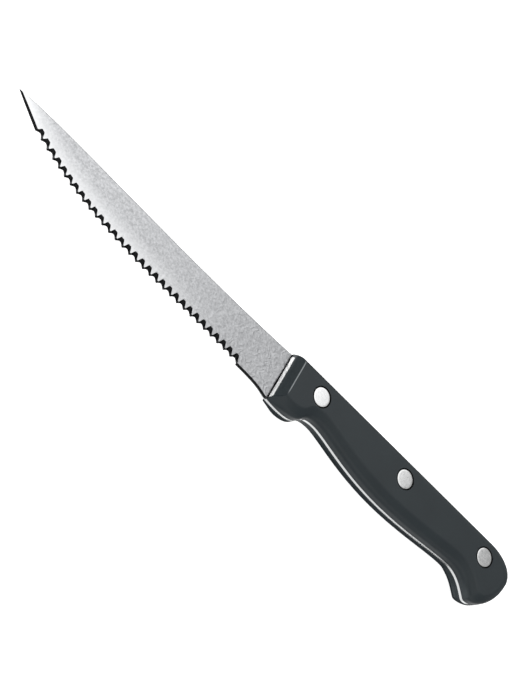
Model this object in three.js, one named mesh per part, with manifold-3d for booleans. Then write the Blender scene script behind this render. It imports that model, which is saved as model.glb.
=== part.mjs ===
// Steak knife: a serrated stainless blade with a full tang, two moulded handle scales
// and three cutlers' rivets, each a sleeve pressed over a pin.
// Millimetres. The knife lies on its far scale with +Z up, the tip towards -X,
// the spine towards +Y and the origin under the middle of its box.
//
// Plan frame used below: x = 0 at the handle front, y = 0 on the spine at the
// handle front, z = 0 in the middle of the steel. Depths are measured down from
// the spine, heights are measured up from the face of the steel.

import * as THREE from 'three';
import { ConvexGeometry } from 'three/addons/geometries/ConvexGeometry.js';
import { mergeVertices } from 'three/addons/utils/BufferGeometryUtils.js';
import Module from 'manifold-3d';

const wasm = await Module();
wasm.setup();

// Steel sheet
const steelThickness = 1.0;
const edgeThickness = 0.7;
const grindStart = 1.5;
const grindRunout = 12;

// Blade outline
const bladeLength = 112;
const tipRise = 0.16;
const spineDipRun = 45;
const spineDipPull = 1.8;
const spineCrestRun = 20;
const spineCrestPull = 1.67;
const tipEdgeLength = 10.5;
const tipEdgeDepth = 5.7;
const heelLength = 13.3;
const heelDepth = 15.95;
const heelStep = 0.8;
const heelCurveStart = 2;
const heelCurveEnd = 2.5;
const edgeSweepRun = 28;
const edgeSweepFall = 11.2;
const edgeRunoutRun = 30;
const edgeRunoutRise = 1.75;

// Ground edge and serration, cut from the near face
const toothPitch = 2.85;
const toothDepth = 1.1;
const toothSetback = 0.1;
const tipBevel = 0.45;
const gulletBevel = 1.05;
const edgeLand = 0.05;

// Handle outline
const handleLength = 102.7;
const handleThickness = 10;
const guardFrontDepth = 17.47;
const guardDepth = 17.82;
const guardPosition = 5;
const notchDepth = 13.01;
const notchPosition = 18.3;
const bellyDepth = 17.52;
const bellyPosition = 51.5;
const waistDepth = 15.37;
const waistSetback = 21.3;
const hookDepth = 20.97;
const hookSetback = 9.5;
const hookCornerRun = 1;
const hookCornerRise = 0.3;
const buttDepth = 8.37;
const spineDroop = 0.63;
const spineEndSetback = 11.7;

// How long the handle outline holds its direction beside each low and high place,
// as a share of the way to the next
const guardHold = 0.79;
const notchFrontHold = 0.65;
const notchRearHold = 0.16;
const bellyFrontHold = 0.53;
const bellyRearHold = 0.42;
const waistFrontHold = 0.2;
const waistRearHold = 0.52;
const hookFlankRun = 0.23;
const hookFlankRise = 0.41;
const hookHold = 0.41;
const buttLowerHold = 0.49;
const buttUpperHold = 0.75;
const spineEndHold = 0.42;

// Moulded section of a scale
const bellyWall = 3.1;
const bellyRidgeInset = 3.3;
const spineWall = 4.0;
const spineRidgeInset = 2;
const edgeRounding = 1.5;
const roundingLimit = 0.7;
const nearGuardWall = 0.4;
const farGuardWall = 1.2;
const guardWallRun = 7;
const ridgeForwardShift = 1.2;

// Front end of a scale
const frontFaceHeight = 2;
const frontFaceLean = 0.6;
const frontBevelRun = 3.3;

// Rivets
const rivetFrontPosition = 13.55;
const rivetRearSetback = 12.6;
const rivetDepth = 6.25;
const headDiameter = 6;
const headThickness = 1.2;
const headChamfer = 0.2;
const headRecess = 0.05;
const sleeveDiameter = 3.4;
const sleeveWall = 0.6;
const sleeveEndGap = 0.5;
const pinEndGap = 0.8;
const rivetClearance = 0.1;
const tangHoleClearance = 0.2;

// Fineness of the facets
const outlineSteps = 10;
const gulletSteps = 8;
const roundingSteps = 3;
const roundSides = 24;

// How far cutting bodies reach past the piece they cut
const overrun = 3;

// Worked-out sizes
const steelHalf = steelThickness / 2;
const scaleHeight = handleThickness / 2 - steelHalf;
const seatHeight = scaleHeight - headRecess - headThickness;
const sleeveBore = sleeveDiameter - 2 * sleeveWall;
const spineEnd = handleLength - spineEndSetback;

// Height of the handle's straight spine line at a place along the handle.
function spineLevel(x) {
  return -spineDroop * x / spineEnd;
}

const rivetPlaces = ['front', 'middle', 'rear'].map((name, index) => {
  const rearPosition = handleLength - rivetRearSetback;
  const x = THREE.MathUtils.lerp(rivetFrontPosition, rearPosition, index / 2);
  return { name, x, y: spineLevel(x) - rivetDepth };
});

// Solids and meshes

function toSolid(geometry) {
  const bare = geometry.clone();
  bare.deleteAttribute('normal');
  bare.deleteAttribute('uv');
  const merged = mergeVertices(bare, 1e-4);
  const vertProperties = Float32Array.from(merged.attributes.position.array);
  const triVerts = Uint32Array.from(merged.index.array);
  return new wasm.Manifold(new wasm.Mesh({ numProp: 3, vertProperties, triVerts }));
}

function indexedGeometry(positions, triangles) {
  const geometry = new THREE.BufferGeometry();
  geometry.setAttribute('position', new THREE.Float32BufferAttribute(positions, 3));
  geometry.setIndex(Array.from(triangles));
  geometry.computeVertexNormals();
  return geometry;
}

function toGeometry(solid) {
  const mesh = solid.getMesh();
  return indexedGeometry(mesh.vertProperties, mesh.triVerts);
}

function cutAway(geometry, cutters) {
  const start = toSolid(geometry);
  const rest = cutters.reduce((solid, cutter) => solid.subtract(toSolid(cutter)), start);
  return toGeometry(rest);
}

// The same body reflected in the middle plane of the steel.
function reflected(geometry) {
  const copy = geometry.clone().scale(1, 1, -1);
  const flipped = [];
  for (let corner = 0; corner < copy.index.count; corner += 3) {
    flipped.push(copy.index.getX(corner), copy.index.getX(corner + 2), copy.index.getX(corner + 1));
  }
  return indexedGeometry(copy.attributes.position.array, flipped);
}

// A closed body skinned over rings of equal count, listed upwards, each counter-clockwise from above.
function loft(rings) {
  const count = rings[0].length;
  const positions = rings.flat().flatMap((point) => [point.x, point.y, point.z]);
  const triangles = [];
  for (let level = 0; level < rings.length - 1; level += 1) {
    for (let station = 0; station < count; station += 1) {
      const next = (station + 1) % count;
      const a = level * count + station;
      const b = level * count + next;
      triangles.push(a, b, b + count, a, b + count, a + count);
    }
  }
  const top = (rings.length - 1) * count;
  THREE.ShapeUtils.triangulateShape(rings[0], []).forEach(([a, b, c]) => {
    triangles.push(a, c, b);
  });
  THREE.ShapeUtils.triangulateShape(rings.at(-1), []).forEach(([a, b, c]) => {
    triangles.push(top + a, top + b, top + c);
  });
  return indexedGeometry(positions, triangles);
}

// An upright round cutter between two heights.
function roundCutter(place, diameter, from, to) {
  const cutter = new THREE.CylinderGeometry(diameter / 2, diameter / 2, to - from, roundSides);
  cutter.rotateX(Math.PI / 2);
  return cutter.translate(place.x, place.y, (from + to) / 2);
}

// Handle outline

// A curve that leaves one low or high point level and arrives level at the next.
// The two shares say how far each level stretch holds before the curve turns.
function easeTo(path, to, leave, arrive) {
  const from = path.currentPoint;
  const run = to.x - from.x;
  path.bezierCurveTo(from.x + leave * run, from.y, to.x - arrive * run, to.y, to.x, to.y);
}

// The handle's edge from the guard, along the belly and round the butt to the spine front.
// With insets it is the ridge where a scale's sloping sides meet its flat.
function traceHandle(path, bellyInset, spineInset, shift) {
  const waist = handleLength - waistSetback;
  const hook = { x: handleLength - hookSetback + shift, y: bellyInset - hookDepth };
  const corner = { x: hook.x - hookCornerRun, y: hook.y + hookCornerRise };
  const butt = { x: handleLength - spineInset, y: -buttDepth };
  const spineRear = { x: spineEnd, y: spineLevel(spineEnd) - spineInset };
  const low = new THREE.Vector2(guardPosition, bellyInset - guardDepth);

  path.quadraticCurveTo(low.x / 2, low.y, low.x, low.y);
  easeTo(path, { x: notchPosition - shift, y: bellyInset - notchDepth }, guardHold, notchFrontHold);
  easeTo(path, { x: bellyPosition, y: bellyInset - bellyDepth }, notchRearHold, bellyFrontHold);
  easeTo(path, { x: waist, y: bellyInset - waistDepth }, bellyRearHold, waistFrontHold);

  const fall = path.currentPoint.y - corner.y;
  const run = corner.x - waist;
  path.bezierCurveTo(
    waist + waistRearHold * run, path.currentPoint.y,
    corner.x - hookFlankRun * run, corner.y + hookFlankRise * fall,
    corner.x, corner.y,
  );
  path.quadraticCurveTo(corner.x + hookCornerRun / 3, hook.y, hook.x, hook.y);
  path.bezierCurveTo(
    hook.x + hookHold * (butt.x - hook.x), hook.y,
    butt.x, butt.y - buttLowerHold * (butt.y - hook.y),
    butt.x, butt.y,
  );
  path.bezierCurveTo(
    butt.x, butt.y + buttUpperHold * (spineRear.y - butt.y),
    spineRear.x + spineEndHold * (butt.x - spineRear.x), spineRear.y,
    spineRear.x, spineRear.y,
  );
  path.lineTo(0, -spineInset);
}

function handleRing(bellyInset, spineInset, shift) {
  const path = new THREE.Path();
  path.moveTo(0, bellyInset - guardFrontDepth);
  traceHandle(path, bellyInset, spineInset, shift);
  return path.getPoints(outlineSteps);
}

// Blade and tang

// The line that the tooth tips lie on, or the blank's edge when nothing is set back.
function edgeCurve(setback, step) {
  const start = new THREE.Vector2(tipEdgeLength - bladeLength, setback - tipEdgeDepth);
  const end = new THREE.Vector2(-heelLength, step - heelDepth);
  return new THREE.CubicBezierCurve(
    start,
    new THREE.Vector2(start.x + edgeSweepRun, start.y - edgeSweepFall),
    new THREE.Vector2(end.x - edgeRunoutRun, end.y + edgeRunoutRise),
    end,
  );
}

function steelBlank() {
  const edge = edgeCurve(0, 0);
  const shape = new THREE.Shape();
  shape.moveTo(-bladeLength, tipRise);
  shape.lineTo(edge.v0.x, edge.v0.y);
  shape.bezierCurveTo(edge.v1.x, edge.v1.y, edge.v2.x, edge.v2.y, edge.v3.x, edge.v3.y);
  shape.bezierCurveTo(
    -heelCurveStart, -heelDepth,
    -heelCurveEnd, -guardFrontDepth,
    0, -guardFrontDepth,
  );
  traceHandle(shape, 0, 0, 0);
  shape.bezierCurveTo(
    -spineDipRun, -spineDipPull,
    spineCrestRun - bladeLength, spineCrestPull,
    -bladeLength, tipRise,
  );
  const blank = new THREE.ExtrudeGeometry(shape, {
    depth: steelThickness,
    bevelEnabled: false,
    curveSegments: outlineSteps,
  });
  return blank.translate(0, 0, -steelHalf);
}

// The wedge ground off one face, so that the blade thins from below the spine to the edge
// and runs out to full thickness ahead of the handle.
function grindWedge(side) {
  const depth = heelDepth + overrun;
  const loss = (steelThickness - edgeThickness) / 2 * (depth - grindStart) / (heelDepth - grindStart);
  const front = -bladeLength - overrun;
  const plunge = -grindRunout;
  const reach = plunge + grindRunout * overrun / loss;
  const above = steelHalf + overrun;
  const corners = [
    [front, -grindStart, steelHalf],
    [front, -depth, steelHalf - loss],
    [plunge, -grindStart, steelHalf],
    [plunge, -depth, steelHalf - loss],
    [front, -grindStart, above],
    [front, -depth, above],
    [reach, -grindStart, above],
    [reach + grindRunout, -depth, above],
  ];
  return new ConvexGeometry(corners.map(([x, y, z]) => new THREE.Vector3(x, y, side * z)));
}

// Stations along the ground edge. Each gives a place on the edge line, the direction into the
// blade, and how far in the grinding cuts at the far face and at the near face.
function edgeStations() {
  const teeth = edgeCurve(toothSetback, heelStep);
  const tip = new THREE.Vector2(-bladeLength, tipRise);
  const along = teeth.v0.clone().sub(tip).normalize();
  const inward = new THREE.Vector2(-along.y, along.x);
  const ahead = tip.clone().addScaledVector(along, -overrun);
  const stations = [{ place: ahead, inward, far: -edgeLand, near: tipBevel }];

  const count = Math.round(teeth.getLength() / toothPitch);
  for (let step = 0; step <= count * gulletSteps; step += 1) {
    const share = step / (count * gulletSteps);
    const tangent = teeth.getTangentAt(share);
    const across = 2 * (step % gulletSteps) / gulletSteps - 1;
    const scallop = 1 - across * across;
    stations.push({
      place: teeth.getPointAt(share),
      inward: new THREE.Vector2(-tangent.y, tangent.x),
      far: scallop * toothDepth,
      near: tipBevel + scallop * (toothDepth + gulletBevel - tipBevel),
    });
  }
  return stations;
}

// The body that the scalloped grinding takes away, a ruled surface from the far face
// to the near face along the edge stations.
function edgeCutter() {
  const stations = edgeStations();
  const below = -heelDepth - overrun;
  const levels = [-steelHalf - edgeLand, steelHalf + edgeLand];
  const rings = levels.map((z) => {
    const share = z / edgeThickness + 0.5;
    const cut = stations.map(({ place, inward, far, near }) => {
      const depth = THREE.MathUtils.lerp(far, near, share);
      return new THREE.Vector3(place.x + depth * inward.x, place.y + depth * inward.y, z);
    });
    const outside = [
      new THREE.Vector3(stations[0].place.x - overrun, below, z),
      new THREE.Vector3(stations.at(-1).place.x, below, z),
    ];
    return [...outside, ...cut.reverse()];
  });
  return loft(rings);
}

function bladeGeometry() {
  const holeDiameter = sleeveDiameter + 2 * (rivetClearance + tangHoleClearance);
  const holes = rivetPlaces.map((place) => roundCutter(place, holeDiameter, -overrun, overrun));
  return cutAway(steelBlank(), [grindWedge(1), grindWedge(-1), edgeCutter(), ...holes]);
}

// Handle scales

// The section of a scale's side as pairs of share of the way in to the ridge and height.
// An upright wall turns over a rounding into a straight slope that ends at the ridge.
function sideSection(wall, inset) {
  const rounding = Math.min(edgeRounding, roundingLimit * wall);
  const slope = new THREE.Vector2(inset, scaleHeight - wall);
  const turn = new THREE.Vector2(0, wall);
  const end = turn.clone().addScaledVector(slope, rounding / slope.length());
  const arc = new THREE.QuadraticBezierCurve(new THREE.Vector2(0, wall - rounding), turn, end);
  const points = [new THREE.Vector2(0, 0), ...arc.getPoints(roundingSteps), slope.setY(scaleHeight)];
  return points.map((point) => ({ share: point.x / inset, height: point.y }));
}

// Height of the upright wall at a point of the outline: low at the guard's front corner,
// middling along the belly and high along the spine.
function wallHeight(point, outward, guardWall) {
  const belly = THREE.MathUtils.smoothstep(-outward.y, -0.2, 0.7);
  const grown = THREE.MathUtils.smoothstep(point.x, 0, guardWallRun);
  const under = THREE.MathUtils.lerp(guardWall, bellyWall, grown);
  return THREE.MathUtils.lerp(spineWall, under, belly);
}

function scaleBody(guardWall) {
  const outline = handleRing(0, 0, 0);
  const ridge = handleRing(bellyRidgeInset, spineRidgeInset, ridgeForwardShift);
  const last = outline.length - 1;
  const sections = outline.map((point, index) => {
    const before = outline[Math.max(index - 1, 0)];
    const after = outline[Math.min(index + 1, last)];
    const along = after.clone().sub(before).normalize();
    const outward = new THREE.Vector2(along.y, -along.x);
    const inset = ridge[index].distanceTo(point);
    return sideSection(wallHeight(point, outward, guardWall), inset);
  });
  const rings = sections[0].map((_, level) => outline.map((point, index) => {
    const { share, height } = sections[index][level];
    const place = point.clone().lerp(ridge[index], share);
    return new THREE.Vector3(place.x, place.y, steelHalf + height);
  }));
  return loft(rings);
}

// What is taken off the scale's front: the leaning end face and the bevel above it.
function frontCutter() {
  const leanRate = frontFaceLean / frontFaceHeight;
  const bevelRate = (frontBevelRun - frontFaceLean) / (scaleHeight - frontFaceHeight);
  const shape = new THREE.Shape();
  shape.moveTo(-leanRate * overrun, -overrun);
  shape.lineTo(frontFaceLean, frontFaceHeight);
  shape.lineTo(frontBevelRun + bevelRate * overrun, scaleHeight + overrun);
  shape.lineTo(-overrun, scaleHeight + overrun);
  shape.lineTo(-overrun, -overrun);
  const width = guardFrontDepth + guardDepth;
  const cutter = new THREE.ExtrudeGeometry(shape, { depth: width, bevelEnabled: false });
  cutter.rotateX(Math.PI / 2);
  return cutter.translate(0, guardDepth / 2, steelHalf);
}

// A scale as it lies on the near face of the tang.
function scaleGeometry(guardWall) {
  const top = handleThickness / 2 + overrun;
  const seats = rivetPlaces.map((place) => (
    roundCutter(place, headDiameter + 2 * rivetClearance, steelHalf + seatHeight, top)
  ));
  const holes = rivetPlaces.map((place) => (
    roundCutter(place, sleeveDiameter + 2 * rivetClearance, 0, top)
  ));
  return cutAway(scaleBody(guardWall), [frontCutter(), ...seats, ...holes]);
}

// Rivets

// A turned body from pairs of radius and height, standing along +Z.
function turned(profile) {
  const points = profile.map(([radius, height]) => new THREE.Vector2(radius, height));
  return new THREE.LatheGeometry(points, roundSides).rotateX(Math.PI / 2);
}

const headRadius = headDiameter / 2;
const headUnderside = steelHalf + seatHeight;
const headTop = headUnderside + headThickness;

// The sleeve has its head in the near scale and reaches almost to the pin's head.
function sleeveGeometry() {
  const end = sleeveEndGap - headUnderside;
  return turned([
    [0, headUnderside],
    [sleeveBore / 2, headUnderside],
    [sleeveBore / 2, end],
    [sleeveDiameter / 2, end],
    [sleeveDiameter / 2, headUnderside],
    [headRadius, headUnderside],
    [headRadius, headTop - headChamfer],
    [headRadius - headChamfer, headTop],
    [0, headTop],
  ]);
}

// The pin has its head in the far scale and stands inside the sleeve.
function pinGeometry() {
  const pinRadius = sleeveBore / 2 - rivetClearance;
  return turned([
    [0, -headTop],
    [headRadius - headChamfer, -headTop],
    [headRadius, headChamfer - headTop],
    [headRadius, -headUnderside],
    [pinRadius, -headUnderside],
    [pinRadius, headUnderside - pinEndGap],
    [0, headUnderside - pinEndGap],
  ]);
}

// Assembly

function piece(name, geometry, material) {
  const mesh = new THREE.Mesh(geometry, material);
  mesh.name = name;
  return mesh;
}

function brushedSteel() {
  return new THREE.MeshStandardMaterial({ color: 0xc4c5c7, roughness: 0.38, metalness: 1 });
}

function blackAcetal() {
  return new THREE.MeshStandardMaterial({ color: 0x2b2f31, roughness: 0.42, metalness: 0 });
}

function rivetMetal() {
  return new THREE.MeshStandardMaterial({ color: 0xc9cccd, roughness: 0.3, metalness: 1 });
}

const nearScale = scaleGeometry(nearGuardWall);
const farScale = reflected(scaleGeometry(farGuardWall));
const knife = new THREE.Group();
knife.add(piece('blade', bladeGeometry(), brushedSteel()));
knife.add(piece('near_scale', nearScale, blackAcetal()));
knife.add(piece('far_scale', farScale, blackAcetal()));
rivetPlaces.forEach(({ name, x, y }) => {
  const sleeve = piece(`${name}_rivet_sleeve`, sleeveGeometry(), rivetMetal());
  const pin = piece(`${name}_rivet_pin`, pinGeometry(), rivetMetal());
  sleeve.position.set(x, y, 0);
  pin.position.set(x, y, 0);
  knife.add(sleeve, pin);
});

// The origin lies under the middle of the knife's box, on the far scale's flat.
const box = new THREE.Box3().setFromObject(knife);
const middle = box.getCenter(new THREE.Vector3());
knife.position.set(-middle.x, -middle.y, -box.min.z);

export default knife;
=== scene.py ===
# %% [markdown]
# # A riveted steak knife
# The knife is a serrated steel blade whose tang runs the whole length of the handle, with a black moulded
# scale on each face and rivets through all three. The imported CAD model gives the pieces, their places and
# their sizes. This lesson makes a finer surface for each piece from a formula, then gives it its finish.

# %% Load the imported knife
import math

import bmesh
import bpy
import numpy as np
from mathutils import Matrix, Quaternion, Vector


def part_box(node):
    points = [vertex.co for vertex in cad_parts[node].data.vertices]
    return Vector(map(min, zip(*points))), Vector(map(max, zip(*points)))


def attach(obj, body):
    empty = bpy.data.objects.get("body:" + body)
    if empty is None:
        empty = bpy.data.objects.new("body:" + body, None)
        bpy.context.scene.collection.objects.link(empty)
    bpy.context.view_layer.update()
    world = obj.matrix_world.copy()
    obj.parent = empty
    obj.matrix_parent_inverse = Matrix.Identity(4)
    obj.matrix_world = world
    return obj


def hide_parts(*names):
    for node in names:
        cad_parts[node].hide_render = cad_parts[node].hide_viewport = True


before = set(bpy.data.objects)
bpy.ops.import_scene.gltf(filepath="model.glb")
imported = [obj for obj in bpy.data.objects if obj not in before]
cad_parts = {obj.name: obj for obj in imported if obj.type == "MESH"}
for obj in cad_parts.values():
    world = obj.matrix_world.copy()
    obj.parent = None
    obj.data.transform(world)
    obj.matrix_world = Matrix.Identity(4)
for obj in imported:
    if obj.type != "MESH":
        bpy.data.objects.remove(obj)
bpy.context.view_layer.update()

MM = 0.001
print("CAD nodes:", ", ".join(sorted(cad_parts)))

# %% [markdown]
# ## Measuring the frame
# All shapes below are worked out in millimetres in a plan of the knife: x runs from the front of the handle
# to the butt, y from the spine at the handle front upwards, z from the middle of the steel towards the near
# scale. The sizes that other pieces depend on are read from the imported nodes, so they can't drift apart.

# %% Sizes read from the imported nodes
def node_box(name):
    """The lowest and the highest corner of a CAD node, in millimetres."""
    low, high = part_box(name)
    return np.array(low) / MM, np.array(high) / MM


blade_low, blade_high = node_box("blade")
near_low, near_high = node_box("near_scale")
steel_half = (blade_high[2] - blade_low[2]) / 2
scale_height = near_high[2] - blade_high[2]
handle_length = near_high[0] - near_low[0]
blade_length = near_low[0] - blade_low[0]
hook_depth = 20.97
plan_origin = np.array([near_low[0], blade_low[1] + hook_depth, (blade_low[2] + blade_high[2]) / 2])
print(f"blade {blade_length:.1f} mm, handle {handle_length:.1f} mm, steel {2 * steel_half:.2f} mm")

# %% [markdown]
# ## Curves
# Both outlines of a knife are drawn with French curves: smooth arcs that hold their direction for a while
# and then turn. A cubic Bezier does the same with four control points, and numpy can work out every point
# of a whole chain of them at once.

# %% Points on a chain of cubics
def cubic_weights(t):
    """The weights (1-t)^3, 3(1-t)^2 t, 3(1-t) t^2 and t^3 of a cubic's four controls, for each t."""
    return np.stack([(1 - t) ** 3, 3 * (1 - t) ** 2 * t, 3 * (1 - t) * t ** 2, t ** 3], axis=-1)


def trace(chain, shares):
    """Points along a chain of cubics: each cubic's controls summed by their weights at its own shares t."""
    return np.concatenate([cubic_weights(t) @ np.array(cubic, float) for cubic, t in zip(chain, shares)])


def level_curve(start, end, leave, arrive):
    """A cubic that leaves its start level and arrives level, holding for a share of the run at each end."""
    run = end[0] - start[0]
    return [start, (start[0] + leave * run, start[1]), (end[0] - arrive * run, end[1]), end]


def bent_curve(start, corner, end):
    """A quadratic curve as a cubic: its inner controls lie two thirds of the way to the corner."""
    start, corner, end = (np.array(point, float) for point in (start, corner, end))
    return [start, start + (corner - start) * 2 / 3, end + (corner - end) * 2 / 3, end]


print("weights half way along a cubic:", cubic_weights(np.array(0.5)))

# %% [markdown]
# Two more helpers soften things. One leads from 0 to 1 without a kink. The other takes the lower of two
# surfaces, as a cutter would leave them, and rounds the corner where they meet.

# %% Soft steps and corners
def smoothstep(value, low, high):
    """0 below low, 1 above high, and 3s^2 - 2s^3 between, with s the share of the way."""
    share = np.clip((value - low) / (high - low), 0, 1)
    return share * share * (3 - 2 * share)


def soft_min(a, b, width):
    """The smaller of two heights, rounded where they differ by less than width."""
    blend = np.clip(width - np.abs(a - b), 0, None) / width
    return np.minimum(a, b) - blend * blend * width / 4


print("a soft step at a quarter of its way:", smoothstep(0.25, 0, 1))

# %% [markdown]
# ## The handle's outline
# The belly line dips at the guard, rises into a notch for the first finger, swells for the palm and hooks
# down at the butt. The back line is straight and then turns round the butt to meet it. With an inset the
# same two lines give the ridge on a scale, where its sloping sides end and its flat begins. The values
# called hold and turn are the shares of the way for which a curve keeps its direction.

# %% Handle outline
guard_front_depth = 17.47
guard_depth = 17.82
guard_position = 5.0
notch_depth = 13.01
notch_position = 18.3
belly_depth = 17.52
belly_position = 51.5
waist_depth = 15.37
waist_position = handle_length - 21.3
hook_position = handle_length - 9.5
hook_corner_run = 1.0
hook_corner_rise = 0.3
butt_depth = 8.37
spine_droop = 0.5
spine_end = handle_length - 11.7
guard_hold = (0.79, 0.65)
notch_hold = (0.16, 0.53)
swell_hold = (0.42, 0.2)
waist_hold = 0.52
flank_hold = (0.23, 0.41)
butt_turn = (0.45, 0.53)
back_turn = (0.42, 0.75)


def belly_chain(inset, butt_inset, shift):
    """The belly as cubics: guard, notch, palm swell, waist, flank of the hook, hook and lower butt."""
    front = (0.0, inset - guard_front_depth)
    low = (guard_position, inset - guard_depth)
    notch = (notch_position - shift, inset - notch_depth)
    swell = (belly_position, inset - belly_depth)
    waist = (waist_position, inset - waist_depth)
    hook = (hook_position + shift, inset - hook_depth)
    corner = (hook[0] - hook_corner_run, hook[1] + hook_corner_rise)
    butt = (handle_length - butt_inset, -butt_depth)
    run = corner[0] - waist[0]
    fall = waist[1] - corner[1]
    flank = (corner[0] - flank_hold[0] * run, corner[1] + flank_hold[1] * fall)
    turn = (hook[0] + butt_turn[0] * (butt[0] - hook[0]), hook[1])
    return [
        bent_curve(front, (low[0] / 2, low[1]), low),
        level_curve(low, notch, *guard_hold),
        level_curve(notch, swell, *notch_hold),
        level_curve(swell, waist, *swell_hold),
        [waist, (waist[0] + waist_hold * run, waist[1]), flank, corner],
        bent_curve(corner, (corner[0] + hook_corner_run / 3, hook[1]), hook),
        [hook, turn, (butt[0], butt[1] - butt_turn[1] * (butt[1] - hook[1])), butt],
    ]


def back_chain(inset):
    """The upper butt as one cubic, from the end of the straight spine round to the butt."""
    rear = (spine_end, -spine_droop - inset)
    butt = (handle_length - inset, -butt_depth)
    leave = (rear[0] + back_turn[0] * (butt[0] - rear[0]), rear[1])
    return [[rear, leave, (butt[0], butt[1] + back_turn[1] * (rear[1] - butt[1])), butt]]


print(len(belly_chain(0, 0, 0)), "curves along the belly")

# %% [markdown]
# ## Stations along the handle
# A section is carried along the handle, so both lines need the same number of stations, with a section
# line joining each pair. They crowd together at the front, where the bevel needs fine steps.

# %% Handle stations
front_start = 0.2
front_stretches = ((0.8, 16), (2.8, 10), (3.8, 20), (guard_position, 6))
front_ends = [front_start] + [end for end, steps in front_stretches]
front_stations = np.concatenate([
    np.linspace(start, end, steps, endpoint=False)
    for start, (end, steps) in zip(front_ends, front_stretches)
])
belly_steps = (64, 64, 48, 60, 20)
butt_steps = 72
belly_shares = [front_stations / guard_position]
belly_shares += [np.linspace(0, 1, steps, endpoint=False) for steps in belly_steps]
belly_shares += [np.linspace(0, 1, butt_steps + 1)]


def handle_rails(inset, back_inset, shift):
    """Belly and back line, station by station. The back's straight stations follow the belly's x."""
    belly = trace(belly_chain(inset, back_inset, shift), belly_shares)
    outline_x = trace(belly_chain(0, 0, 0), belly_shares)[:-butt_steps - 1, 0]
    lag = (hook_position - spine_end) * smoothstep(outline_x, belly_position, hook_position)
    straight_x = outline_x - lag
    straight = np.stack([straight_x, -spine_droop * straight_x / spine_end - back_inset], axis=1)
    back = np.concatenate([straight, trace(back_chain(back_inset), belly_shares[-1:])])
    return belly, back


belly_line, back_line = handle_rails(0, 0, 0)
print(len(belly_line), "stations along the handle")

# %% [markdown]
# ## From grids to pieces
# Every piece is a grid of points: stations along it, rows across it. One helper joins the grid with
# quads, welds what meets at a point, turns all faces outwards and keeps hard edges hard.

# %% Meshes from grids
hard_edge = math.radians(28)
weld = 1e-7


def grid_faces(stations, rows):
    """Quads between neighbouring stations and rows, with the last row joined to the first."""
    index = np.arange(stations * rows).reshape(stations, rows)
    ring = np.hstack([index, index[:, :1]])
    quads = np.stack([ring[:-1, :-1], ring[1:, :-1], ring[1:, 1:], ring[:-1, 1:]], axis=-1)
    return quads.reshape(-1, 4).tolist()


def finish_mesh(mesh):
    """Welds doubles, turns the faces outwards, shades smooth and keeps edges over the hard angle sharp."""
    work = bmesh.new()
    work.from_mesh(mesh)
    bmesh.ops.remove_doubles(work, verts=work.verts, dist=weld)
    bmesh.ops.recalc_face_normals(work, faces=work.faces)
    work.to_mesh(mesh)
    work.free()
    mesh.polygons.foreach_set("use_smooth", np.ones(len(mesh.polygons), bool))
    mesh.set_sharp_from_angle(angle=hard_edge)
    mesh.update()


print("quads in a tube of 3 stations and 4 rows:", len(grid_faces(3, 4)))

# %% [markdown]
# A piece can also carry a finish number on each face and named numbers at its points. They are set while it
# is still known what each face is, and the materials further down read them.

# %% Pieces with finishes and named values
def set_point_values(mesh, label, values):
    """A named number at every point of a mesh, for a material to read."""
    layer = mesh.attributes.new(label, "FLOAT", "POINT")
    layer.data.foreach_set("value", values.astype(np.float32).ravel())


def make_piece(name, points, faces, finishes=None, **values):
    """A mesh object from plan points in millimetres, with a finish number for each face and named
    values at its points, where they are given."""
    mesh = bpy.data.meshes.new(name)
    mesh.from_pydata(((points.reshape(-1, 3) + plan_origin) * MM).tolist(), [], faces)
    for label, value in values.items():
        set_point_values(mesh, label, value)
    if finishes is not None:
        mesh.polygons.foreach_set("material_index", finishes.astype(np.int32).ravel())
    finish_mesh(mesh)
    piece = bpy.data.objects.new(name, mesh)
    bpy.context.scene.collection.objects.link(piece)
    print(f"{name}: {len(mesh.vertices)} points, {len(mesh.polygons)} faces")
    return piece


# %% [markdown]
# ## The blade's outline
# The spine is one long curve that dips and then rises to the tip. The plain edge at the tip is straight,
# the toothed edge sweeps back from it, and behind a small step the heel runs into the guard.

# %% Blade outline
tip_rise = 0.16
tip_edge_run = 10.5
tip_edge_drop = 5.7
tip = np.array([-blade_length, tip_rise])
tip_edge_end = np.array([tip_edge_run - blade_length, -tip_edge_drop])
heel_start = np.array([-13.54, -15.95])
heel_step = 0.57
tooth_setback = -0.13
tooth_line_leave = (28, -11.2)
tooth_line_arrive = (-30, 1.75)
spine_dip = (-45, -1.8)
spine_rise = (20 - blade_length, 1.67)
spine_curve = [(0, 0), spine_dip, spine_rise, tuple(tip)]
heel_holds = (-2.0, -2.5)
heel_end = (0, -guard_front_depth)
heel_curve = [heel_start, (heel_holds[0], heel_start[1]), (heel_holds[1], heel_end[1]), heel_end]


def tooth_line():
    """The cubic that the tooth tips lie on."""
    start = tip_edge_end + (0, tooth_setback)
    end = heel_start + (0, heel_step)
    return [start, start + tooth_line_leave, end + tooth_line_arrive, end]


dense = np.linspace(0, 1, 4001)
spine_points = trace([spine_curve], [dense])[::-1]


def spine_y(x):
    """Height of the blade's spine at x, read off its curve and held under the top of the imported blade."""
    return np.minimum(np.interp(x, spine_points[:, 0], spine_points[:, 1]), blade_high[1] - plan_origin[1])


tooth_points = trace([tooth_line()], [dense])
tooth_run = np.concatenate([[0], np.cumsum(np.linalg.norm(np.diff(tooth_points, axis=0), axis=1))])
print(f"toothed edge {tooth_run[-1]:.1f} mm long")

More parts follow.
